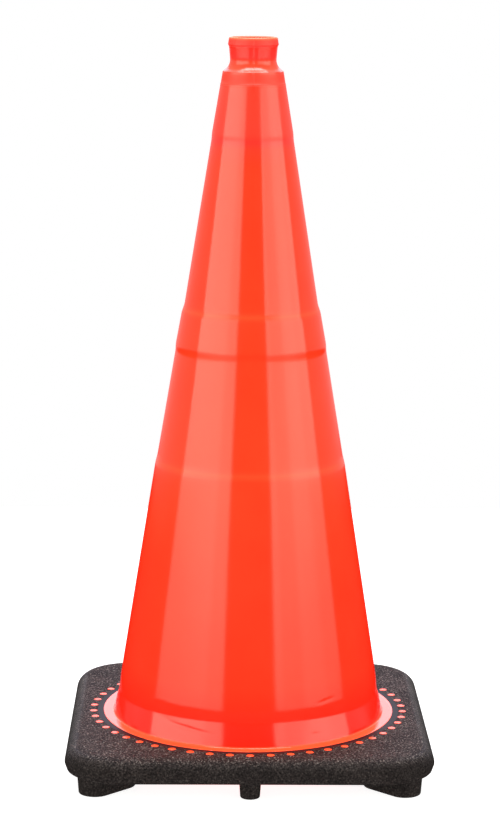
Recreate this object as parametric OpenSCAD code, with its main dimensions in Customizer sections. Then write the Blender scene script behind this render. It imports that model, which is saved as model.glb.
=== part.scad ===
// Road cone on a square weighted base. Millimetres, +Z up.
// The origin is on the ground, on the cone's axis; the front is towards -Y.

/* [Overall] */
// Height from the ground to the top of the rim
total_h = 711; // [705:1:720]
// Side of the square base at its widest
base_w = 357; // [350:1:365]

/* [Base] */
// Height of the feet under the slab
foot_h = 17; // [14:0.5:20]
// Thickness of the slab
slab_t = 22.5; // [20:0.5:26]
// Corner radius of the slab in plan
corner_r = 56; // [50:1:62]
// Rounding of the slab's top edge
edge_r = 16; // [8:1:18]
// How far the slab's lower edge sits inside its widest line
slab_draft = 2; // [0.5:0.5:3]

/* [Feet] */
// Distance of a corner foot's outer end from the axis, along X and along Y
corner_foot_reach = 148; // [140:1:150]
// Distance of its inner end from the axis, along X and along Y
corner_foot_root = 126; // [118:1:130]
// Radius of a corner foot where it leaves the slab
corner_foot_r = 17; // [12:0.5:18]
// Distance of each mid-side foot from the axis
side_foot_reach = 161; // [150:0.5:163]
// Radius of a mid-side foot where it leaves the slab
side_foot_r = 10.6; // [8:0.2:12]
// How much smaller in radius a foot is at the ground
foot_draft = 1.1; // [0.4:0.1:2]

/* [Wall] */
// Wall thickness of the shell
wall_t = 2.5; // [2:0.1:3]
// Outer radius of the wall where it meets the flange
wall_foot_r = 135.2; // [132:0.2:137]
// Outer radius of the shell at the shoulder
shoulder_r = 29.5; // [28.5:0.1:30.5]
// Height of the shoulder
shoulder_z = 677; // [674:1:680]

/* [Collar seats] */
// Top and bottom heights of the recess for a 6 in reflective collar
upper_seat = [613, 455];
// Outer radius of the shell at those two heights
upper_seat_r = [39.95, 65.2];
// Top and bottom heights of the recess for a 4 in reflective collar
lower_seat = [405, 301];
// Outer radius of the shell at those two heights
lower_seat_r = [74.4, 91.75];

/* [Neck] */
// Inner radius of the mouth
mouth_r = 20; // [18:0.5:20.5]
// Length of the neck's straight bore
mouth_l = 28; // [20:1:30]
// Outer radius of the rim's bead
bead_r = 24.5; // [24:0.1:25]
// Outer radius of the neck at its waist
waist_r = 22.5; // [22.2:0.05:23.4]

/* [Flange and lock] */
// Outer radius of the flange that lies in the base's recess
flange_r = 145.4; // [143:0.2:148]
// Thickness of the flange
flange_t = 2; // [1.5:0.1:3]
// How far the flange stands above the base
flange_proud = 0.2; // [0:0.1:1]
// Number of studs that show around the flange
stud_count = 50; // [40:2:50]
// Radius of the circle that the studs stand on
stud_ring_r = 155.5; // [153:0.5:158]
// Radius of one stud
stud_r = 3.75; // [3:0.05:4]
// Outer radius of the ring inside the slab
lock_ring_r = 161; // [160:0.5:163]
// Thickness of the ring inside the slab
lock_ring_t = 3.5; // [2:0.5:5]

/* [Hidden] */

orange = [1, 0.27, 0.15];
black = [0.22, 0.21, 0.21];
eps = 0.01;

slab_top = foot_h + slab_t;
flange_top = slab_top + flange_proud;
flange_low = flange_top - flange_t;
corner_c = base_w / 2 - corner_r;
ring_z = foot_h + 7;

// Points of an arc about c from angle a0 to a1, in n steps
function arc(c, r, a0, a1, n) = [
    for (i = [0 : n])
        let (a = a0 + (a1 - a0) * i / n)
        c + r * [cos(a), sin(a)]
];

// Rim: a bead with a rounded lip, 9 mm high
lip_r = 1.6;
lip_in = 1.2;
bead_top_r = bead_r - 0.6;
bead_z = total_h - 5.5;
bead_low_z = bead_z - 3.4;
rim_outline = concat(
    arc([mouth_r + lip_in, total_h - lip_in], lip_in, 180, 90, 4),
    arc([bead_top_r - lip_r, total_h - lip_r], lip_r, 90, 10, 5),
    [[bead_r, bead_z]],
    arc([bead_r - 1.4, bead_z - 1.6], 1.4, 0, -55, 4),
    [[waist_r + 0.25, bead_low_z - 2]]
);

// Neck: a straight waist that flares out to the shoulder's edge
flare_r = 15;
flare_turn = 56;
flare_z = total_h - 19.9;
neck_outline = concat(
    arc([waist_r + flare_r, flare_z], flare_r, 178, 180 + flare_turn, 12),
    [
        [shoulder_r - 0.1, shoulder_z + 1.3],
        [shoulder_r, shoulder_z + 0.9]
    ]
);

// Rounding between the wall and the flange
fillet_r = 0.9;

// Wall: straight runs, with a shallow step at each end of a collar seat and at the foot band
band_z = shoulder_z - 10;
crease_z = slab_top + 26.7;
wall_outline = [
    [shoulder_r + 1.8, band_z],
    [shoulder_r + 2.15, band_z - 1],
    [upper_seat_r[0] - 0.35, upper_seat[0] + 6],
    [upper_seat_r[0], upper_seat[0]],
    [upper_seat_r[1], upper_seat[1]],
    [upper_seat_r[1] + 3.5, upper_seat[1] - 13],
    [lower_seat_r[0] - 0.65, lower_seat[0] + 8],
    [lower_seat_r[0], lower_seat[0]],
    [lower_seat_r[1], lower_seat[1]],
    [lower_seat_r[1] + 2, lower_seat[1] - 8],
    [wall_foot_r - 5.5, crease_z],
    [wall_foot_r - 5.7, crease_z - 0.8],
    [wall_foot_r, flange_top + fillet_r]
];

// Flange and the sleeve that runs down through the base's opening
sleeve_r = wall_foot_r - wall_t;
foot_outline = concat(
    arc([wall_foot_r + fillet_r, flange_top + fillet_r], fillet_r, 180, 270, 4),
    [
        [flange_r - flange_proud, flange_top],
        [flange_r, slab_top],
        [flange_r, flange_low],
        [wall_foot_r, flange_low],
        [wall_foot_r, foot_h],
        [sleeve_r, foot_h]
    ]
);

// Inside: parallel to the wall, then in to the straight bore of the neck
inner_outline = concat(
    [for (i = [len(wall_outline) - 1 : -1 : 0]) wall_outline[i] - [wall_t, 0]],
    [[shoulder_r - wall_t, shoulder_z - 3], [mouth_r, total_h - lip_in - mouth_l]]
);

module ring_of_studs(r, z0, z1) {
    for (i = [0 : stud_count - 1])
        rotate([0, 0, -90 + i * 360 / stud_count])
            translate([stud_ring_r, 0, z0])
                cylinder(r = r, h = z1 - z0, $fn = 24);
}

module tube(r_out, r_in, z0, z1) {
    difference() {
        translate([0, 0, z0]) cylinder(r = r_out, h = z1 - z0, $fn = 180);
        translate([0, 0, z0 - 1]) cylinder(r = r_in, h = z1 - z0 + 2, $fn = 180);
    }
}

module slab_corner() {
    rotate_extrude($fn = 64)
        polygon(concat(
            [[0, slab_top]],
            arc([corner_r - edge_r, slab_top - edge_r], edge_r, 90, 0, 8),
            [[corner_r - slab_draft, foot_h], [0, foot_h]]
        ));
}

module slab() {
    hull()
        for (x = [-corner_c, corner_c], y = [-corner_c, corner_c])
            translate([x, y, 0]) slab_corner();
}

module foot(r) {
    cylinder(r1 = r - foot_draft, r2 = r, h = foot_h + eps, $fn = 32);
}

module corner_foot() {
    hull() {
        translate([corner_foot_reach, corner_foot_reach, 0]) foot(corner_foot_r);
        translate([corner_foot_root, corner_foot_root, 0]) foot(corner_foot_r);
    }
}

// Orange shell: rim, neck, wall, flange and sleeve in one moulding
module cone_body() {
    color(orange)
        rotate_extrude($fn = 180)
            polygon(concat(rim_outline, neck_outline, wall_outline, foot_outline, inner_outline));
}

// Black slab with its feet, the opening, the flange's recess, the ring's groove and the stud holes
module weighted_base() {
    color(black)
        difference() {
            union() {
                slab();
                for (turn = [0 : 90 : 270])
                    rotate([0, 0, turn]) {
                        corner_foot();
                        translate([side_foot_reach, 0, 0]) foot(side_foot_r);
                    }
            }
            translate([0, 0, foot_h - 1])
                cylinder(r = wall_foot_r, h = slab_t + 2, $fn = 180);
            translate([0, 0, flange_low])
                cylinder(r = flange_r, h = flange_t + 1, $fn = 180);
            translate([0, 0, ring_z])
                cylinder(r = lock_ring_r, h = lock_ring_t, $fn = 180);
            ring_of_studs(stud_r, ring_z + 1, slab_top + 1);
        }
}

// Ring inside the slab that ties the studs' feet to the shell's sleeve
module lock_ring() {
    color(orange)
        tube(lock_ring_r, wall_foot_r, ring_z, ring_z + lock_ring_t);
}

// Studs that rise from the ring and end flush with the slab's top
module lock_studs() {
    color(orange)
        ring_of_studs(stud_r, ring_z + lock_ring_t, slab_top);
}

cone_body();
weighted_base();
lock_ring();
lock_studs();
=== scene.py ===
import math
import random

import bpy
from mathutils import Matrix, Vector


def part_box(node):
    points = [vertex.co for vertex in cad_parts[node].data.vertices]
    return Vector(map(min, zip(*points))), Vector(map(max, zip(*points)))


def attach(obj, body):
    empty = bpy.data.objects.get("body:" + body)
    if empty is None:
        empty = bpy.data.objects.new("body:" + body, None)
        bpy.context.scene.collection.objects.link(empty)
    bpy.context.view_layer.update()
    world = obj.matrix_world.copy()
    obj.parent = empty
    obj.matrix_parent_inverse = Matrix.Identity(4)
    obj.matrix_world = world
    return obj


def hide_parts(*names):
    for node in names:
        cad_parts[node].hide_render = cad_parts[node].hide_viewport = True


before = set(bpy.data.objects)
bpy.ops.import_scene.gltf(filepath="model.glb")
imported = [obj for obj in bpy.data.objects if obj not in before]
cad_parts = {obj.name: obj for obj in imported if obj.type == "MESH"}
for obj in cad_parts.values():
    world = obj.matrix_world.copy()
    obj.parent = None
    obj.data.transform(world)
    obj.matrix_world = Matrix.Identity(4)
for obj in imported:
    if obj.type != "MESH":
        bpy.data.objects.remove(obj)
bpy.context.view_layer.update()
mm = 0.001
print("frame loaded")

# Levels and radii that every piece shares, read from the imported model
shellLow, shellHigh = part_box("cone_body")
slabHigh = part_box("weighted_base")[1]
ringLow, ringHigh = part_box("lock_ring")
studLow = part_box("lock_studs")[0]
rimZ = shellHigh[2]
undersideZ = shellLow[2]
slabTopZ = slabHigh[2]
flangeR = shellHigh[0]
baseHalf = slabHigh[0]
studBottomZ = studLow[2]
footH = 17 * mm  # clear height under the slab


# Camera

view = {
    "from": (-0.0416, -2.5741, 0.8194),
    "at": (-0.0004, 0.0, 0.3433),
    "roll": 0.46,  # degrees, a camera held almost level
    "lens": 115.64,
    "sensor": 36.0,
}


def makeCamera(v):
    data = bpy.data.cameras.new("camera")
    data.lens = v["lens"]
    data.sensor_width = v["sensor"]
    data.clip_end = 50.0
    cam = bpy.data.objects.new("camera", data)
    bpy.context.collection.objects.link(cam)
    aim = Vector(v["at"]) - Vector(v["from"])
    turn = aim.to_track_quat("-Z", "Y").to_matrix()
    cam.rotation_euler = (turn @ Matrix.Rotation(math.radians(v["roll"]), 3, "Z")).to_euler()
    cam.location = v["from"]
    bpy.context.scene.camera = cam


makeCamera(view)
print("camera")


# One function adds a node with its settings and links

def add(tree, kind, sockets=None, stops=None, **settings):
    node = tree.nodes.new(kind)
    for name, value in settings.items():
        setattr(node, name, value)
    for i, (at, value) in enumerate(stops or []):
        stop = node.color_ramp.elements[i] if i < 2 else node.color_ramp.elements.new(at)
        stop.position = at
        stop.color = value if isinstance(value, tuple) else (value, value, value, 1)
    for name, value in (sockets or {}).items():
        if isinstance(value, bpy.types.NodeSocket):
            tree.links.new(value, node.inputs[name])
        else:
            node.inputs[name].default_value = value
    return node


def colour(text, alpha=1.0):
    values = [int(text[i:i + 2], 16) / 255 for i in (1, 3, 5)]
    linear = [v / 12.92 if v <= 0.04045 else ((v + 0.055) / 1.055) ** 2.4 for v in values]
    return (*linear, alpha)


def newMaterial(name):
    mat = bpy.data.materials.new(name)
    mat.use_nodes = True
    tree = mat.node_tree
    tree.nodes.clear()
    shader = add(tree, "ShaderNodeBsdfPrincipled")
    add(tree, "ShaderNodeOutputMaterial", {"Surface": shader.outputs[0]})
    return mat, tree, shader


def perMetre(size):
    return 1.0 / size  # a noise texture's scale for features of that size


# Plasticised PVC with fluorescent pigment, injection moulded: a saturated orange, kept vivid in shade by a
# painted red glow, under a glossy skin where panels of light show as broad pale shapes.
pvc = {
    # Colour by height, bottom to top, with painted light in it: the flange, the studs, the rim and the raised
    # ends of the collar seats are painted paler as highlights, the wall is painted darker towards the bottom
    # as shade, and narrow bands elsewhere are painted lighter and darker where light and shade fall.
    "colour": [
        (0.0, "#FF7040"), (0.04, "#FF6C3C"), (0.0411, "#FA291D"), (0.058, "#F9281C"), (0.067, "#F92A19"),
        (0.079, "#F92E1B"), (0.095, "#FA341E"), (0.18, "#FA3720"), (0.24, "#FA3C22"), (0.2925, "#FA3E22"),
        (0.2965, "#FD4927"), (0.3005, "#FA3E22"), (0.4068, "#FA3E22"), (0.4101, "#F8371E"),
        (0.4124, "#FA3E22"), (0.4435, "#FA3E22"), (0.4473, "#FD4A28"), (0.4505, "#FA3E22"),
        (0.59, "#FA3E23"), (0.606, "#FA3D2A"), (0.6125, "#F63530"), (0.6175, "#FA3E30"), (0.667, "#FA3F2E"),
        (0.669, "#FA3624"), (0.677, "#FB3926"), (0.6795, "#FB4830"), (0.688, "#FB4830"), (0.692, "#F93B39"),
        (0.703, "#FA342D"), (0.7085, "#FA3426"), (0.7108, "#FF7048")],
    "mottleDepth": 0.06,
    "glow": "#FF1800",
    "paintedGlowStrength": 0.42,  # a painted glow: red light the surface gives out by itself, standing in for the pigment's fluorescence and lifting the orange in shade
    # Roughness by height: the bead and the collar band are lightly textured
    "gloss": [
        (0.0, 0.1), (0.6, 0.12), (0.622, 0.17), (0.664, 0.2), (0.668, 0.5), (0.6755, 0.5), (0.677, 0.24),
        (0.682, 0.2), (0.69, 0.15), (0.7015, 0.16), (0.704, 0.55), (0.71, 0.5)],
    "studRough": 0.25,  # the studs' ends take the base's grain
    "ior": 1.5,
    "mottle": 45 * mm,
    "wave": 38 * mm,
    "waveDepth": 0.06 * mm,
    "drawLine": 2.2 * mm,  # width of a draw line on a wall of radius drawR
    "drawR": 80 * mm,
    "drawRepeat": 6.0,  # changes along a draw line, per metre
    "drawDepth": 0.012 * mm,
    "peel": 1.6 * mm,  # the skin's real texture is finer; drawn this coarse so it shows
    "peelDepth": 0.01 * mm,
}


def byHeight(pairs):
    return [(z / rimZ, colour(v) if isinstance(v, str) else v) for z, v in pairs]


def makePvc(p):
    mat, tree, shader = newMaterial("fluorescent_pvc")
    place = add(tree, "ShaderNodeTexCoord").outputs["Object"]
    split = add(tree, "ShaderNodeSeparateXYZ", {"Vector": place})
    height = add(tree, "ShaderNodeMath", {0: split.outputs["Z"], 1: rimZ}, operation="DIVIDE")
    # Colour by height, with painted highlights and painted shade in it
    pigmentWithPaintedLight = add(tree, "ShaderNodeValToRGB", {"Fac": height.outputs[0]}, stops=byHeight(p["colour"]))
    gloss = add(tree, "ShaderNodeValToRGB", {"Fac": height.outputs[0]}, stops=byHeight(p["gloss"]))
    flat = add(tree, "ShaderNodeCombineXYZ", {"X": split.outputs["X"], "Y": split.outputs["Y"]})
    reach = add(tree, "ShaderNodeVectorMath", {0: flat.outputs[0]}, operation="LENGTH")
    onStud = add(tree, "ShaderNodeMapRange", {
        "Value": reach.outputs["Value"], "From Min": flangeR + 1 * mm, "From Max": flangeR + 2 * mm,
        "To Min": 0.0, "To Max": p["studRough"]})
    dull = add(tree, "ShaderNodeMath", {
        0: gloss.outputs["Color"], 1: onStud.outputs[0]}, operation="MAXIMUM")
    mottle = add(tree, "ShaderNodeTexNoise", {
        "Vector": place, "Scale": perMetre(p["mottle"]), "Detail": 3.0})
    shade = add(tree, "ShaderNodeMapRange", {
        "Value": mottle.outputs["Fac"], "From Min": 0.3, "From Max": 0.7,
        "To Min": 1 - p["mottleDepth"], "To Max": 1 + p["mottleDepth"]})
    tint = add(tree, "ShaderNodeVectorMath", {
        0: pigmentWithPaintedLight.outputs["Color"], 1: shade.outputs[0]}, operation="MULTIPLY")
    wave = add(tree, "ShaderNodeTexNoise", {"Vector": place, "Scale": perMetre(p["wave"]), "Detail": 1.0})
    low = add(tree, "ShaderNodeBump", {
        "Height": wave.outputs["Fac"], "Strength": 1.0, "Distance": p["waveDepth"]})
    # Draw lines: narrow round the cone, long up the cone
    turn = add(tree, "ShaderNodeMath", {0: split.outputs["Y"], 1: split.outputs["X"]}, operation="ARCTAN2")
    across = add(tree, "ShaderNodeMath", {
        0: turn.outputs[0], 1: p["drawR"] / p["drawLine"]}, operation="MULTIPLY")
    along = add(tree, "ShaderNodeMath", {0: split.outputs["Z"], 1: p["drawRepeat"]}, operation="MULTIPLY")
    lane = add(tree, "ShaderNodeCombineXYZ", {"X": across.outputs[0], "Y": along.outputs[0]})
    lines = add(tree, "ShaderNodeTexNoise", {"Vector": lane.outputs[0], "Scale": 1.0, "Detail": 1.0})
    mid = add(tree, "ShaderNodeBump", {
        "Height": lines.outputs["Fac"], "Strength": 1.0, "Distance": p["drawDepth"],
        "Normal": low.outputs[0]})
    peel = add(tree, "ShaderNodeTexNoise", {"Vector": place, "Scale": perMetre(p["peel"]), "Detail": 1.0})
    fine = add(tree, "ShaderNodeBump", {
        "Height": peel.outputs["Fac"], "Strength": 1.0, "Distance": p["peelDepth"], "Normal": mid.outputs[0]})
    tree.links.new(tint.outputs[0], shader.inputs["Base Color"])
    tree.links.new(dull.outputs[0], shader.inputs["Roughness"])
    tree.links.new(fine.outputs[0], shader.inputs["Normal"])
    shader.inputs["IOR"].default_value = p["ior"]
    # Painted glow: a red emission that lifts the orange in shade
    shader.inputs["Emission Color"].default_value = colour(p["glow"])
    shader.inputs["Emission Strength"].default_value = p["paintedGlowStrength"]
    return mat


# Recycled PVC, injection moulded in a grained tool: dark, dull and speckled, with a smooth
# land around the flange where the tool shuts off on bare steel.
recycled = {
    "dark": "#131011",
    "light": "#635A58",
    "paintedGlint": "#A39B95",  # painted glints on the tops of the grain
    "land": "#1B1A1D",
    "landRoughness": 0.38,
    "specular": 0.04,  # the porous filler dulls it
    "grain": 1.7 * mm,  # the real grain is about 0.8 mm; drawn coarser so it shows
    "cloud": 22 * mm,
    "speckRange": (0.35, 0.7),  # the part of the grain's noise that goes from dark to light
    "glintRange": (0.58, 0.74, 0.9),
    # By how far a surface faces up, from and to, and the least amount: grain, painted shade that darkens what
    # faces away from up, and painted glints
    "grainUp": (0.0, 0.5, 0.4),
    "paintedShadeUp": (0.5, 0.98, 0.46),
    "glintUp": (0.7, 0.97, 0.06),
    "grainDepth": 1.4 * mm,
    # Roughness by how far a surface faces up: the rounded edge is rubbed smoother
    "edge": [(0.0, 0.5), (0.3, 0.48), (0.6, 0.3), (0.93, 0.3), (0.985, 0.6), (1.0, 0.6)],
    "ior": 1.5,
    "landR": 151 * mm,
}


def makeRecycled(p):
    mat, tree, shader = newMaterial("recycled_pvc")
    place = add(tree, "ShaderNodeTexCoord").outputs["Object"]
    split = add(tree, "ShaderNodeSeparateXYZ", {"Vector": place})
    flat = add(tree, "ShaderNodeCombineXYZ", {"X": split.outputs["X"], "Y": split.outputs["Y"]})
    reach = add(tree, "ShaderNodeVectorMath", {0: flat.outputs[0]}, operation="LENGTH")
    onLand = add(tree, "ShaderNodeMapRange", {
        "Value": reach.outputs["Value"], "From Min": p["landR"], "From Max": p["landR"] + 1 * mm,
        "To Min": 1.0, "To Max": 0.0})
    surface = add(tree, "ShaderNodeNewGeometry")
    facing = add(tree, "ShaderNodeSeparateXYZ", {"Vector": surface.outputs["Normal"]})
    grained = add(tree, "ShaderNodeMapRange", {
        "Value": facing.outputs["Z"], "From Min": p["grainUp"][0], "From Max": p["grainUp"][1],
        "To Min": p["grainUp"][2], "To Max": 1.0})
    rough = add(tree, "ShaderNodeMath", {0: 1.0, 1: onLand.outputs[0]}, operation="SUBTRACT")
    depth = add(tree, "ShaderNodeMath", {0: rough.outputs[0], 1: grained.outputs[0]}, operation="MULTIPLY")
    grain = add(tree, "ShaderNodeTexNoise", {"Vector": place, "Scale": perMetre(p["grain"]), "Detail": 3.0})
    cloud = add(tree, "ShaderNodeTexNoise", {"Vector": place, "Scale": perMetre(p["cloud"]), "Detail": 2.0})
    speck = add(tree, "ShaderNodeMapRange", {
        "Value": grain.outputs["Fac"], "From Min": p["speckRange"][0], "From Max": p["speckRange"][1]})
    # Painted shade: what faces away from up gets less of the pale speck and comes out darker; painted glints
    # lie only on what faces up
    sideShade = add(tree, "ShaderNodeMapRange", {
        "Value": facing.outputs["Z"], "From Min": p["paintedShadeUp"][0], "From Max": p["paintedShadeUp"][1],
        "To Min": p["paintedShadeUp"][2], "To Max": 1.0})
    glintFacing = add(tree, "ShaderNodeMapRange", {
        "Value": facing.outputs["Z"], "From Min": p["glintUp"][0], "From Max": p["glintUp"][1],
        "To Min": p["glintUp"][2], "To Max": 1.0})
    patchy = add(tree, "ShaderNodeMath", {0: speck.outputs[0], 1: cloud.outputs["Fac"]}, operation="MULTIPLY")
    mixed = add(tree, "ShaderNodeMath", {0: patchy.outputs[0], 1: sideShade.outputs[0]}, operation="MULTIPLY")
    body = add(tree, "ShaderNodeMix", {"Factor": mixed.outputs[0]}, data_type="RGBA")
    body.inputs["A"].default_value = colour(p["dark"])
    body.inputs["B"].default_value = colour(p["light"])
    # Painted glints: the grain's highest points are painted pale where the surface faces up
    peak = add(tree, "ShaderNodeMapRange", {
        "Value": grain.outputs["Fac"], "From Min": p["glintRange"][0], "From Max": p["glintRange"][1],
        "To Min": 0.0, "To Max": p["glintRange"][2]})
    glintMask = add(tree, "ShaderNodeMath", {0: peak.outputs[0], 1: glintFacing.outputs[0]}, operation="MULTIPLY")
    withGlints = add(tree, "ShaderNodeMix", {"Factor": glintMask.outputs[0]}, data_type="RGBA")
    tree.links.new(body.outputs["Result"], withGlints.inputs["A"])
    withGlints.inputs["B"].default_value = colour(p["paintedGlint"])
    tone = add(tree, "ShaderNodeMix", {"Factor": onLand.outputs[0]}, data_type="RGBA")
    tree.links.new(withGlints.outputs["Result"], tone.inputs["A"])
    tone.inputs["B"].default_value = colour(p["land"])
    edge = add(tree, "ShaderNodeValToRGB", {"Fac": facing.outputs["Z"]}, stops=p["edge"])
    gloss = add(tree, "ShaderNodeMapRange", {
        "Value": onLand.outputs[0], "To Min": edge.outputs["Color"], "To Max": p["landRoughness"]})
    bump = add(tree, "ShaderNodeBump", {
        "Height": grain.outputs["Fac"], "Strength": depth.outputs[0], "Distance": p["grainDepth"]})
    tree.links.new(tone.outputs["Result"], shader.inputs["Base Color"])
    tree.links.new(gloss.outputs[0], shader.inputs["Roughness"])
    tree.links.new(bump.outputs[0], shader.inputs["Normal"])
    shader.inputs["IOR"].default_value = p["ior"]
    shader.inputs["Specular IOR Level"].default_value = p["specular"]
    return mat


orangePvc = makePvc(pvc)
blackPvc = makeRecycled(recycled)
print("materials")


# Helpers for outlines and meshes

def arc(centre, radius, start, end, steps):
    angles = [math.radians(start + (end - start) * i / steps) for i in range(steps + 1)]
    return [(centre[0] + radius * math.cos(a), centre[1] + radius * math.sin(a)) for a in angles]


def run(a, b, step):
    n = max(1, math.ceil(math.hypot(b[0] - a[0], b[1] - a[1]) / step))
    return [(a[0] + (b[0] - a[0]) * i / n, a[1] + (b[1] - a[1]) * i / n) for i in range(n + 1)]


def softCorners(points, reach):
    # Rounds every inner corner of a polyline with a short curve
    out = [points[0]]
    for a, b, c in zip(points, points[1:], points[2:]):
        la, lc = math.dist(a, b), math.dist(b, c)
        ra, rc = min(reach, 0.45 * la) / la, min(reach, 0.45 * lc) / lc
        start = (b[0] + (a[0] - b[0]) * ra, b[1] + (a[1] - b[1]) * ra)
        stop = (b[0] + (c[0] - b[0]) * rc, b[1] + (c[1] - b[1]) * rc)
        for i in range(5):
            t = i / 4
            weights = ((1 - t) ** 2, 2 * t * (1 - t), t * t)
            out.append(tuple(sum(w * v for w, v in zip(weights, ends)) for ends in zip(start, b, stop)))
    return out + [points[-1]]


def tidy(points, gap=0.02 * mm):
    kept = [points[0]]
    for p in points[1:]:
        if math.hypot(p[0] - kept[-1][0], p[1] - kept[-1][1]) > gap:
            kept.append(p)
    return kept


def makeObject(name, verts, faces, material, sharp=40):
    mesh = bpy.data.meshes.new(name)
    mesh.from_pydata(verts, [], faces)
    mesh.validate()
    mesh.update()
    mesh.shade_smooth()
    mesh.set_sharp_from_angle(angle=math.radians(sharp))
    obj = bpy.data.objects.new(name, mesh)
    bpy.context.collection.objects.link(obj)
    mesh.materials.append(material)
    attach(obj, "root")
    return obj


# Shell: one closed turned outline, from the lip down the outside and back up the inside

shell = {
    "mouth": 20 * mm,
    "lipIn": 1.2 * mm,
    "lipOut": 1.7 * mm,
    "neckBore": 28 * mm,
    "wall": 2.5 * mm,
    "bead": 24.5 * mm,
    "beadDrop": 5.6 * mm,
    "beadR": 1.5 * mm,
    "beadLean": 0.85 * mm,  # the bead's top is this much narrower than its middle
    "waist": 22.5 * mm,
    "neck": [(1.05 * mm, 3.6 * mm), (0.05 * mm, 14.6 * mm)],  # outside the waist, and below the bead
    "flareR": 11.5 * mm,
    "flareDrop": 21.8 * mm,
    "shoulder": 29.5 * mm,
    "shoulderDrop": 34 * mm,  # from the rim down to the shoulder
    "shoulderR": 0.5 * mm,
    "bandH": 10 * mm,
    "bandFlare": 1.8 * mm,
    "bandLine": 0.3 * mm,  # the fine raised line under the band
    "footR": 135.2 * mm,
    "flangeProud": 0.2 * mm,  # the flange lies in a recess, almost level with the base
    "flangeT": 2 * mm,
    "flangeEdge": 0.2 * mm,
    "fillet": 0.9 * mm,
    "foot": [(-5.6 * mm, 0.0621), (0.02 * mm, slabTopZ + 0.9 * mm)],  # outside the foot's radius, and height
    "fineBelow": 0.089,  # from here down the outline has close points, for the flow marks
    "segments": 360,
    "seam": 0.3 * mm,  # height of the mould's parting line
}
# Radius and height at both ends of each straight run of the wall
wallRuns = [
    ((31.65 * mm, 0.666), (39.6 * mm, 0.6185)),
    ((39.95 * mm, 0.6125), (65.6 * mm, 0.451)),
    ((68.2 * mm, 0.4437), (74.0 * mm, 0.412)),
    ((74.35 * mm, 0.405), (91.75 * mm, 0.301)),
    ((93.75 * mm, 0.2935), (126.25 * mm, 0.088)),
    ((128.31 * mm, 0.0749), (129.4 * mm, 0.0633)),
]


def outerOutline(s):
    shoulderZ = rimZ - s["shoulderDrop"]
    beadZ = rimZ - s["beadDrop"]
    lipIn, lipOut = s["lipIn"], s["lipOut"]
    pts = arc((s["mouth"] + lipIn, rimZ - lipIn), lipIn, 180, 90, 6)
    pts += arc((s["bead"] - s["beadLean"] - lipOut, rimZ - lipOut), lipOut, 90, 11, 8)
    pts += arc((s["bead"] - s["beadR"], beadZ - 1.3 * mm), s["beadR"], 10, -52, 8)
    for (out, down), step in zip(s["neck"], (1 * mm, 2 * mm)):
        pts += run(pts[-1], (s["waist"] + out, beadZ - down), step)[1:]
    # A hollow curve from the neck, then a sloping ledge out to the shoulder; it catches the light from above
    pts += arc((s["waist"] + s["flareR"], rimZ - s["flareDrop"]), s["flareR"], 176, 234, 26)
    edge = arc((s["shoulder"] - s["shoulderR"], shoulderZ + 0.95 * mm), s["shoulderR"], 54, 10, 5)
    pts += run(pts[-1], edge[0], 0.7 * mm)[1:-1] + edge
    bandR, bandZ = s["shoulder"] + s["bandFlare"], shoulderZ - s["bandH"]
    pts += run(pts[-1], (bandR, bandZ), 4 * mm)[1:]
    # The band ends in a fine raised line
    pts += [(bandR + 0.28 * mm, bandZ - 0.25 * mm), (bandR + s["bandLine"], bandZ - 0.7 * mm)]
    # Foot band: a small step in, then straight down and out to the flange's fillet
    flangeZ = slabTopZ + s["flangeProud"]
    wall = [p for ends in wallRuns for p in ends] + [(s["footR"] + out, z) for out, z in s["foot"]]
    soft = softCorners(wall, 2.2 * mm)
    for a, b in zip(soft, soft[1:]):
        pts += run(a, b, 1.1 * mm if a[1] < s["fineBelow"] else 9 * mm)[:-1]
    fillet, flangeEdge = s["fillet"], s["flangeEdge"]
    pts += arc((s["footR"] + fillet, flangeZ + fillet), fillet, 193, 270, 7)
    pts += run(pts[-1], (flangeR - flangeEdge, flangeZ), 3 * mm)[1:]
    pts += arc((flangeR - flangeEdge, flangeZ - flangeEdge), flangeEdge, 90, 0, 4)[1:]
    flangeLow = flangeZ - s["flangeT"]
    pts += [(flangeR, flangeLow), (s["footR"], flangeLow), (s["footR"], undersideZ)]
    return pts


def innerOutline(s):
    pts = [(s["footR"] - s["wall"], undersideZ), (s["footR"] - s["wall"], slabTopZ)]
    for a, b in reversed(wallRuns):
        pts += run((b[0] - s["wall"], b[1]), (a[0] - s["wall"], a[1]), 12 * mm)
    shoulderZ = rimZ - s["shoulderDrop"]
    pts += [(s["shoulder"] - s["wall"], shoulderZ - 3 * mm)]
    lipZ = rimZ - s["lipIn"]
    pts += run(pts[-1], (s["mouth"], lipZ - s["neckBore"]), 2 * mm)[1:]
    pts += run(pts[-1], (s["mouth"], lipZ), 6 * mm)[1:]
    return pts


# Marks where the hot plastic met and cooled, all near the foot: bearing from the front in degrees,
# height, half-length in degrees, half-height, climb per degree, and depth
flowMarks = [
    (-27, 0.0545, 10, 1.6 * mm, -0.3 * mm, 0.4 * mm),
    (-36, 0.0597, 6, 1.1 * mm, -0.12 * mm, 0.07 * mm),
    (28.5, 0.049, 1.8, 1.2 * mm, 0.1 * mm, 0.22 * mm),
    (35, 0.0785, 4.5, 1.5 * mm, 0.35 * mm, 0.12 * mm),
    (148, 0.0585, 9, 1.5 * mm, 0.3 * mm, 0.14 * mm),
]


waves = {
    "depths": (0.03 * mm, 0.02 * mm),
    "foot": 0.07 * mm,
    "footReach": 60 * mm,  # how far up from the slab the foot's own waves reach
    "marksBelow": 0.084,
}


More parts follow.
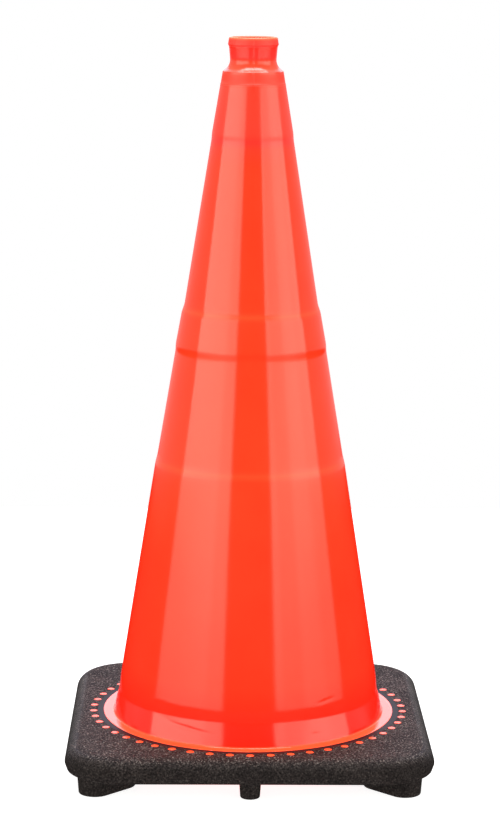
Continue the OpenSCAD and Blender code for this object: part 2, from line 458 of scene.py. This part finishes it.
def moulded(radius, angle, z, outer):
    if not outer:
        return radius
    # Long, shallow waves of the skin, stronger where the foot cooled slowly
    one, two = waves["depths"]
    r = radius
    r += one * math.sin(7 * angle + 11 * z) + two * math.sin(11 * angle - 17 * z + 1.3)
    low = max(0.0, 1 - (z - slabTopZ) / waves["footReach"])
    r += low * waves["foot"] * math.sin(23 * angle + 90 * z + 2 * math.sin(5 * angle))
    if z < waves["marksBelow"]:
        for bearing, height, reach, thick, climb, depth in flowMarks:
            turn = (math.degrees(angle) + 270 - bearing) % 360 - 180
            if abs(turn) < 3 * reach:
                off = (z - height - climb * turn) / thick
                r -= depth * math.exp(-((turn / reach) ** 4) - off * off)
    return r


def lathe(points, segments, outerCount, seam, seamZ):
    verts = []
    for k, (r, z) in enumerate(points):
        outer = k < outerCount
        for i in range(segments):
            a = -math.pi / 2 + 2 * math.pi * i / segments
            rr = moulded(r, a, z, outer and z > slabTopZ + 2 * mm)
            aside = min(i % (segments // 2), -i % (segments // 2))
            if outer and z > seamZ and aside < 2:
                rr += seam * (1, 0.6)[aside]
            verts.append((rr * math.cos(a), rr * math.sin(a), z))
    faces = []
    n = len(points)
    for k in range(n):
        k2 = (k + 1) % n
        for i in range(segments):
            j = (i + 1) % segments
            faces.append((k * segments + i, k2 * segments + i, k2 * segments + j, k * segments + j))
    return verts, faces


outside = tidy(outerOutline(shell))
inside = tidy(innerOutline(shell))
outline = tidy(outside + inside)
seamZ = rimZ - shell["shoulderDrop"] - shell["bandH"] - 1 * mm
verts, faces = lathe(outline, shell["segments"], len(outside), shell["seam"], seamZ)
coneShell = makeObject("cone_shell", verts, faces, orangePvc)
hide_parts("cone_body")
print("shell", len(verts))


# Slab: rings of points lofted between circles and rounded squares, with real stud holes

slab = {
    "cornerR": 56 * mm,
    "edgeR": 16 * mm,
    "edgeSteps": 14,
    "draft": 2 * mm,
    "bottomR": 0.8 * mm,
    "widestZ": slabTopZ - 16 * mm,
    "opening": shell["footR"],
    "landR": recycled["landR"],
    "landDrop": 0.12 * mm,  # the smooth land lies a little below the grained top
    "landStep": (0.7 * mm, 0.2 * mm),  # from the land's edge in to the foot and the top of its step
    "studs": 50,
    "studR": 155.5 * mm,
    "holeR": 3.8 * mm,
    "holeRims": (0.8 * mm, 0.15 * mm, 0.0),  # circles round each hole, outside its own radius
    "holeBreak": 0.15 * mm,
    "spokes": (0.3, 0.6, 0.85),
    "bandR": 160 * mm,  # the flat band on top that holds the studs ends here
    "underBandR": 150 * mm,  # and the one in the groove begins here
    "bevel": 0.4 * mm,
    "perStud": 8,  # points of each ring between two studs
}
around = slab["studs"] * slab["perStud"]
firstAngle = -90 - 180 / slab["studs"]
ringAngles = [math.radians(firstAngle + 360 * i / around) for i in range(around)]


def circleRing(r, z):
    return [(r * math.cos(a), r * math.sin(a), z) for a in ringAngles]


def squareReach(angle, half, corner):
    # Distance from the axis to a rounded square's outline, in the direction of angle
    c, s = abs(math.cos(angle)), abs(math.sin(angle))
    flat = half - corner
    if c >= s and half * s / c <= flat:
        return half / c
    if s > c and half * c / s <= flat:
        return half / s
    b = flat * (c + s)
    return b + math.sqrt(b * b - 2 * flat * flat + corner * corner)


def squareRing(inset, z):
    reaches = [squareReach(a, baseHalf - inset, slab["cornerR"] - inset) for a in ringAngles]
    return [(r * math.cos(a), r * math.sin(a), z) for r, a in zip(reaches, ringAngles)]


def between(a, b, t):
    return [tuple(p + (q - p) * t for p, q in zip(u, v)) for u, v in zip(a, b)]


class Skin:
    # Collects rings of points and the quads between them
    def __init__(self):
        self.verts, self.faces = [], []

    def ring(self, points):
        start = len(self.verts)
        self.verts += points
        return list(range(start, start + len(points)))

    def bridge(self, a, b):
        n = len(a)
        for i in range(n):
            j = (i + 1) % n
            self.faces.append((a[i], a[j], b[j], b[i]))

    def rings(self, last, stack):
        for points in stack:
            new = self.ring(points)
            self.bridge(last, new)
            last = new
        return last


def studPatch(skin, low, high, z, holeR, up):
    # Fills the band between two circles, leaving a round hole in each stud's sector
    n, per = around, slab["perStud"]
    holes = []
    lowR = math.hypot(*skin.verts[low[0]][:2])
    highR = math.hypot(*skin.verts[high[0]][:2])
    spokes = []
    for k in range(slab["studs"]):
        a = ringAngles[k * per]
        reaches = [lowR + (highR - lowR) * t for t in slab["spokes"]]
        spokes.append(skin.ring([(r * math.cos(a), r * math.sin(a), z) for r in reaches]))
    for k in range(slab["studs"]):
        first, nxt = spokes[k], spokes[(k + 1) % slab["studs"]]
        loop = [low[(k * per + i) % n] for i in range(per + 1)]
        loop += nxt
        loop += [high[(k * per + i) % n] for i in range(per, -1, -1)]
        loop += first[::-1]
        mid = math.radians(firstAngle + 360 / slab["studs"] * (k + 0.5))
        cx, cy = slab["studR"] * math.cos(mid), slab["studR"] * math.sin(mid)
        circles = []
        for r in [holeR + rim for rim in slab["holeRims"]]:
            pts = []
            for v in loop:
                dx, dy = skin.verts[v][0] - cx, skin.verts[v][1] - cy
                d = math.hypot(dx, dy)
                drop = 0 if r > holeR else up * slab["holeBreak"]
                pts.append((cx + r * dx / d, cy + r * dy / d, z - drop))
            circles.append(skin.ring(pts))
        chain = [loop] + circles
        for a, b in zip(chain, chain[1:]):
            if up > 0:
                skin.bridge(a, b)
            else:
                skin.bridge(b, a)
        holes.append(circles[-1])
    return holes


def makeSlab(s):
    skin = Skin()
    topZ, lowZ = slabTopZ, footH
    grooveLow, grooveHigh = ringLow[2], ringHigh[2]
    grooveR = ringHigh[0]
    # Top face, from the opening outwards; the flange's recess comes first
    recessZ = topZ + shell["flangeProud"] - shell["flangeT"]
    edge = skin.ring(circleRing(s["opening"], recessZ))
    landZ = topZ - s["landDrop"]
    stepLow, stepHigh = [s["landR"] - inset for inset in s["landStep"]]
    lowTop = skin.rings(edge, [circleRing(140 * mm, recessZ), circleRing(flangeR, recessZ),
                               circleRing(flangeR, landZ), circleRing(stepLow, landZ),
                               circleRing(stepHigh, topZ)])
    circle = circleRing(s["bandR"], topZ)
    highTop = skin.ring(circle)
    topHoles = studPatch(skin, lowTop, highTop, topZ, s["holeR"], 1)
    flatEdge = squareRing(s["edgeR"], topZ)
    last = skin.rings(highTop, [between(circle, flatEdge, t / 10) for t in range(1, 11)])
    # Rounded edge, drafted side and small lower rounding
    over = []
    for i in range(1, s["edgeSteps"] + 1):
        a = math.pi / 2 * i / s["edgeSteps"]
        over.append(squareRing(s["edgeR"] * (1 - math.sin(a)), s["widestZ"] + s["edgeR"] * math.cos(a)))
    sideLow = lowZ + s["bottomR"]
    over += [squareRing(s["draft"] * t, s["widestZ"] + (sideLow - s["widestZ"]) * t) for t in (0.33, 0.66, 1)]
    for i in range(1, 5):
        a = math.pi / 2 * i / 4
        inset = s["draft"] + s["bottomR"] * (1 - math.cos(a))
        over.append(squareRing(inset, sideLow - s["bottomR"] * math.sin(a)))
    last = skin.rings(last, over)
    # Underside back to the opening, then the groove that the ring sits in
    outer = squareRing(s["draft"] + s["bottomR"], lowZ)
    inner = circleRing(s["opening"] + s["bevel"], lowZ)
    last = skin.rings(last, [between(outer, inner, t / 12) for t in range(1, 13)])
    last = skin.rings(last, [circleRing(s["opening"], lowZ + s["bevel"]), circleRing(s["opening"], grooveLow),
                             circleRing(grooveR, grooveLow), circleRing(grooveR, grooveHigh)])
    lowUnder = skin.ring(circleRing(s["underBandR"], grooveHigh))
    ceiling = skin.rings(last, [circleRing(grooveR - 0.5 * mm, grooveHigh)])
    underHoles = studPatch(skin, lowUnder, ceiling, grooveHigh, s["holeR"], -1)
    last = skin.rings(lowUnder, [circleRing(s["opening"], grooveHigh)])
    skin.bridge(last, edge)
    for a, b in zip(topHoles, underHoles):
        skin.bridge(a, b)
    skin.faces = [face[::-1] for face in skin.faces]  # laid from the opening outwards, so turned round
    return skin


skin = makeSlab(slab)
slabPiece = makeObject("base_slab", skin.verts, skin.faces, blackPvc, sharp=50)
print("slab", len(skin.verts))


# Feet: drafted posts, one long one on each diagonal and a round one at each side's middle

feet = {
    "cornerReach": 148 * mm,
    "cornerRoot": 126 * mm,
    "cornerR": 17 * mm,
    "sideReach": 161 * mm,
    "sideR": 10.6 * mm,
    "draft": 1.1 * mm,
    "root": 0.9 * mm,  # fillet where it leaves the slab
    "toe": 1.4 * mm,  # rounding at the ground
    "sunk": 0.6 * mm,
    "steps": 24,
}


def footRing(inner, reach, r, z, steps):
    # A stadium along +X from inner to reach; a circle where the two are the same
    pts = []
    for i in range(steps + 1):
        a = math.radians(-90 + 180 * i / steps)
        pts.append((reach + r * math.cos(a), r * math.sin(a), z))
    for i in range(steps + 1):
        a = math.radians(90 + 180 * i / steps)
        pts.append((inner + r * math.cos(a), r * math.sin(a), z))
    return pts


def makeFoot(name, inner, reach, r, turn, f):
    skin = Skin()
    root, toe = f["root"], f["toe"]
    profile = [(0, footH + f["sunk"]), (r + root, footH + f["sunk"]), (r + root, footH)]
    profile += arc((r + root, footH - root), root, 90, 180, 4)[1:]
    low = r - f["draft"]
    profile += run(profile[-1], (low, toe), 4 * mm)[1:]
    profile += arc((low - toe, toe), toe, 0, -90, 6)[1:]
    core = low * 0.3  # the flat cap's radius
    profile += [(low - 4 * mm, 0), (core, 0)]
    rings = [skin.ring(footRing(inner, reach, max(across, core), z, f["steps"])) for across, z in profile]
    for a, b in zip(rings, rings[1:]):
        skin.bridge(b, a)
    skin.faces.append(tuple(rings[0]))
    skin.faces.append(tuple(reversed(rings[-1])))
    c, s = math.cos(math.radians(turn)), math.sin(math.radians(turn))
    skin.verts = [(x * c - y * s, x * s + y * c, z) for x, y, z in skin.verts]
    foot = makeObject(name, skin.verts, skin.faces, blackPvc, sharp=50)
    return foot


diagonal = math.sqrt(2)
footPieces = []
cornerSpan = (feet["cornerRoot"] * diagonal, feet["cornerReach"] * diagonal)
sideSpan = (feet["sideReach"], feet["sideReach"] + 0.01 * mm)  # a hair long, so that no two points meet
for k in range(4):
    footPieces.append(makeFoot(f"corner_foot_{k + 1}", *cornerSpan, feet["cornerR"], 45 + 90 * k, feet))
    footPieces.append(makeFoot(f"side_foot_{k + 1}", *sideSpan, feet["sideR"], 90 * k, feet))
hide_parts("weighted_base")
print("feet", len(footPieces))


# Studs: each ends in a low dome, no two quite alike

studs = {
    "r": 3.75 * mm,
    "edge": 0.35 * mm,
    "dome": 0.22 * mm,
    "sides": 32,
    "seed": 7,
    "lift": (-0.08, 0.1),  # how far one stud differs from the next, in mm
    "wider": (-0.12, 0.02),
    "lean": 0.02,
}


def makeStuds(s):
    rnd = random.Random(s["seed"])
    verts, faces = [], []
    for k in range(slab["studs"]):
        a = math.radians(-90 + 360 * k / slab["studs"])
        cx, cy = slab["studR"] * math.cos(a), slab["studR"] * math.sin(a)
        lift = rnd.uniform(*s["lift"]) * mm
        wide = s["r"] + rnd.uniform(*s["wider"]) * mm
        lean = (rnd.uniform(-s["lean"], s["lean"]), rnd.uniform(-s["lean"], s["lean"]))
        edge = s["edge"]
        profile = [(wide, studBottomZ), (wide, slabTopZ - edge)]
        profile += arc((wide - edge, slabTopZ - edge + lift), edge, 0, 80, 5)
        top = profile[-1][1]
        for t in (0.8, 0.55, 0.3, 0.12):
            profile.append((wide * t, top + s["dome"] * (1 - t * t)))
        start = len(verts)
        for r, z in profile:
            for i in range(s["sides"]):
                b = 2 * math.pi * i / s["sides"]
                x, y = r * math.cos(b), r * math.sin(b)
                tilt = (x * lean[0] + y * lean[1]) if z > studBottomZ + mm else 0
                verts.append((cx + x, cy + y, z + tilt))
        n = s["sides"]
        for m in range(len(profile) - 1):
            row = start + m * n
            for i in range(n):
                j = (i + 1) % n
                faces.append((row + i, row + j, row + n + j, row + n + i))
        faces.append(tuple(start + i for i in reversed(range(n))))
        faces.append(tuple(start + (len(profile) - 1) * n + i for i in range(n)))
    return verts, faces


verts, faces = makeStuds(studs)
studPiece = makeObject("stud_ring", verts, faces, orangePvc)
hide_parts("lock_studs")
print("studs")

# The hidden ring keeps its CAD mesh and takes the shell's material
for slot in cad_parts["lock_ring"].material_slots:
    slot.material = orangePvc


# Floor and light

studio = {
    "floor": "#B4B4B4",
    "floorRough": 0.8,
    "floorSpecular": 0.1,
    "floorGlow": 0.92,  # a light table; past it the room is dark
    "floorHalf": 1.1,
    "topGlow": 11.0,
    "topSize": 1.35,
    "topHeight": 2.3,
    # Two tall softboxes, as bands of bearing: degrees from the front (-Y), + to the right; brightness
    "boxes": [
        (-180, 0.0), (-91.5, 0.0), (-89.5, 0.93), (-60, 1.0), (-41, 1.0), (-37, 0.82), (-24.5, 0.78),
        (-22, 0.0), (22, 0.0), (24.5, 0.8), (29, 0.8), (31.5, 0.66), (47, 0.7), (53, 0.92), (70, 0.94),
        (76, 0.8), (91, 0.78), (93, 0.0), (180, 0.0)],
    "boxGlow": 3.3,
    # Their fall-off, by the sine of the height above the horizon; the lowest part is only ever mirrored
    "boxFade": [
        (-0.56, 0.0), (-0.53, 0.7), (-0.2, 0.7), (-0.185, 0.0), (-0.085, 0.0), (-0.068, 0.42), (0.0, 0.52),
        (0.045, 0.82), (0.1, 1.0), (0.27, 1.0), (0.45, 0.9), (0.5, 0.0)],
    "mirrorOnly": (-0.1, -0.07),  # below this, only a mirror shows them
    "boxTint": (1.0, 0.97, 0.8),
    "room": [
        (-180, 0.4), (-95, 0.42), (-60, 0.3), (-30, 0.05), (30, 0.05), (60, 0.3), (95, 0.42), (180, 0.4)],
    "roomEdge": (0.132, -0.223),  # where the room stops: its drop per radian of bearing, and its start
    "roomSoft": 0.012,
    "backdrop": 1.9,  # a lit sweep, high behind the cone
    "backdropTint": (0.95, 0.87, 1.1),
    # Where it fades in: upwards, towards the back, and from its sides inwards
    "backdropUp": (0.1, 0.2),
    "backdropBack": (0.3, 0.7),
    "backdropSide": (0.45, 0.3),
}


def makeFloor(s):
    mesh = bpy.data.meshes.new("floor")
    half = s["floorHalf"]
    corners = [(-half, -half, 0), (half, -half, 0), (half, half, 0), (-half, half, 0)]
    mesh.from_pydata(corners, [], [(0, 1, 2, 3)])
    floor = bpy.data.objects.new("floor", mesh)
    bpy.context.collection.objects.link(floor)
    mat, tree, shader = newMaterial("backlit_acrylic")
    shader.inputs["Base Color"].default_value = colour(s["floor"])
    shader.inputs["Roughness"].default_value = s["floorRough"]
    shader.inputs["Specular IOR Level"].default_value = s["floorSpecular"]
    shader.inputs["Emission Color"].default_value = (1, 1, 1, 1)
    shader.inputs["Emission Strength"].default_value = s["floorGlow"]
    mesh.materials.append(mat)
    floor.visible_glossy = False


def makeTopPanel(s):
    data = bpy.data.lights.new("top_panel", "AREA")
    data.shape = "SQUARE"
    data.size = s["topSize"]
    data.energy = s["topGlow"] * math.pi * s["topSize"] ** 2  # so that topGlow is how bright it looks
    lamp = bpy.data.objects.new("top_panel", data)
    bpy.context.collection.objects.link(lamp)
    lamp.location = (0, 0, s["topHeight"])
    lamp.visible_camera = False


def makeWorld(s):
    world = bpy.data.worlds.new("studio")
    bpy.context.scene.world = world
    world.use_nodes = True
    tree = world.node_tree
    tree.nodes.clear()
    way = add(tree, "ShaderNodeTexCoord").outputs["Generated"]
    split = add(tree, "ShaderNodeSeparateXYZ", {"Vector": way})
    ahead = add(tree, "ShaderNodeMath", {0: split.outputs["Y"], 1: -1.0}, operation="MULTIPLY")
    bearing = add(tree, "ShaderNodeMath", {0: split.outputs["X"], 1: ahead.outputs[0]}, operation="ARCTAN2")
    turn = add(tree, "ShaderNodeMapRange", {
        "Value": bearing.outputs[0], "From Min": -math.pi, "From Max": math.pi})
    boxStops = [(a / 360 + 0.5, v) for a, v in s["boxes"]]
    boxes = add(tree, "ShaderNodeValToRGB", {"Fac": turn.outputs[0]}, stops=boxStops)
    low, high = s["boxFade"][0][0], s["boxFade"][-1][0]
    climb = add(tree, "ShaderNodeMapRange", {"Value": split.outputs["Z"], "From Min": low, "From Max": high})
    fadeStops = [((z - low) / (high - low), v) for z, v in s["boxFade"]]
    fade = add(tree, "ShaderNodeValToRGB", {"Fac": climb.outputs[0]}, stops=fadeStops)
    ray = add(tree, "ShaderNodeLightPath")
    above = add(tree, "ShaderNodeMapRange", {
        "Value": split.outputs["Z"], "From Min": s["mirrorOnly"][0], "From Max": s["mirrorOnly"][1]})
    seen = add(tree, "ShaderNodeMath", {
        0: above.outputs[0], 1: ray.outputs["Is Glossy Ray"]}, operation="MAXIMUM")
    panel = add(tree, "ShaderNodeVectorMath", {
        0: boxes.outputs["Color"], 1: fade.outputs["Color"]}, operation="MULTIPLY")
    shown = add(tree, "ShaderNodeVectorMath", {0: panel.outputs[0], 1: seen.outputs[0]}, operation="MULTIPLY")
    boxColour = [v * s["boxGlow"] for v in s["boxTint"]]
    glow = add(tree, "ShaderNodeVectorMath", {0: shown.outputs[0], 1: boxColour}, operation="MULTIPLY")
    # The room stops at the table's far edge, which drops below the horizon towards the back
    roomStops = [(a / 360 + 0.5, v) for a, v in s["room"]]
    room = add(tree, "ShaderNodeValToRGB", {"Fac": turn.outputs[0]}, stops=roomStops)
    side = add(tree, "ShaderNodeMath", {0: bearing.outputs[0]}, operation="ABSOLUTE")
    edge = add(tree, "ShaderNodeMath", {
        0: side.outputs[0], 1: s["roomEdge"][0], 2: s["roomEdge"][1]}, operation="MULTIPLY_ADD")
    over = add(tree, "ShaderNodeMath", {0: split.outputs["Z"], 1: edge.outputs[0]}, operation="ADD")
    level = add(tree, "ShaderNodeMapRange", {
        "Value": over.outputs[0], "From Min": -s["roomSoft"], "From Max": s["roomSoft"]})
    walls = add(tree, "ShaderNodeVectorMath", {
        0: room.outputs["Color"], 1: level.outputs[0]}, operation="MULTIPLY")
    # The backdrop is a strip behind the cone, lit from a little above the horizon
    raised = add(tree, "ShaderNodeMapRange", {
        "Value": split.outputs["Z"], "From Min": s["backdropUp"][0], "From Max": s["backdropUp"][1]})
    rear = add(tree, "ShaderNodeMapRange", {
        "Value": split.outputs["Y"], "From Min": s["backdropBack"][0], "From Max": s["backdropBack"][1]})
    across = add(tree, "ShaderNodeMath", {0: split.outputs["X"]}, operation="ABSOLUTE")
    middle = add(tree, "ShaderNodeMapRange", {
        "Value": across.outputs[0], "From Min": s["backdropSide"][0], "From Max": s["backdropSide"][1]})
    lit = add(tree, "ShaderNodeMath", {0: raised.outputs[0], 1: rear.outputs[0]}, operation="MULTIPLY")
    strip = add(tree, "ShaderNodeMath", {0: lit.outputs[0], 1: middle.outputs[0]}, operation="MULTIPLY")
    sweepColour = [v * s["backdrop"] for v in s["backdropTint"]]
    sweep = add(tree, "ShaderNodeVectorMath", {0: strip.outputs[0], 1: sweepColour}, operation="MULTIPLY")
    first = add(tree, "ShaderNodeVectorMath", {0: glow.outputs[0], 1: walls.outputs[0]}, operation="ADD")
    whole = add(tree, "ShaderNodeVectorMath", {0: first.outputs[0], 1: sweep.outputs[0]}, operation="ADD")
    soft = add(tree, "ShaderNodeBackground", {"Color": whole.outputs[0]})
    plain = add(tree, "ShaderNodeBackground", {"Color": (1, 1, 1, 1)})
    mix = add(tree, "ShaderNodeMixShader", {
        0: ray.outputs["Is Camera Ray"], 1: soft.outputs[0], 2: plain.outputs[0]})
    add(tree, "ShaderNodeOutputWorld", {"Surface": mix.outputs[0]})


makeFloor(studio)
makeTopPanel(studio)
makeWorld(studio)
bpy.context.scene.view_settings.view_transform = "Standard"
print("studio")
